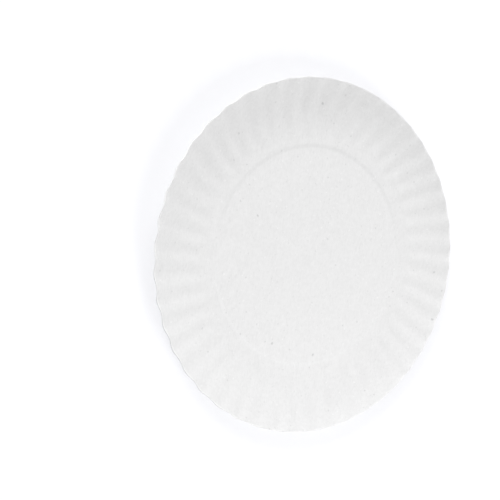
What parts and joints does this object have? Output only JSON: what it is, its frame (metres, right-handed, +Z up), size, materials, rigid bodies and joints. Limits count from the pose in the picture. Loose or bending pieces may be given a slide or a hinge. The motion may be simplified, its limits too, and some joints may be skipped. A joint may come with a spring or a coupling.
{
  "type": "paper plate",
  "caption": "Shallow round plate pressed from rough uncoated paper board, with a flat middle, a stepped fold, a narrow ledge and a fluted, scalloped rim.",
  "frame": {"origin": "centre of the flat underside that the plate rests on", "axes": "+Z up, square to the flat middle, out of the side that holds food; +X through the crest of one flute"},
  "size_m": [0.2307, 0.2308, 0.01],
  "materials": {
    "board": "matt, uncoated, off-white, with fine mottling and sparse grey specks"
  },
  "bodies": {
    "root": {"plate": "board"}
  },
  "joints": []
}
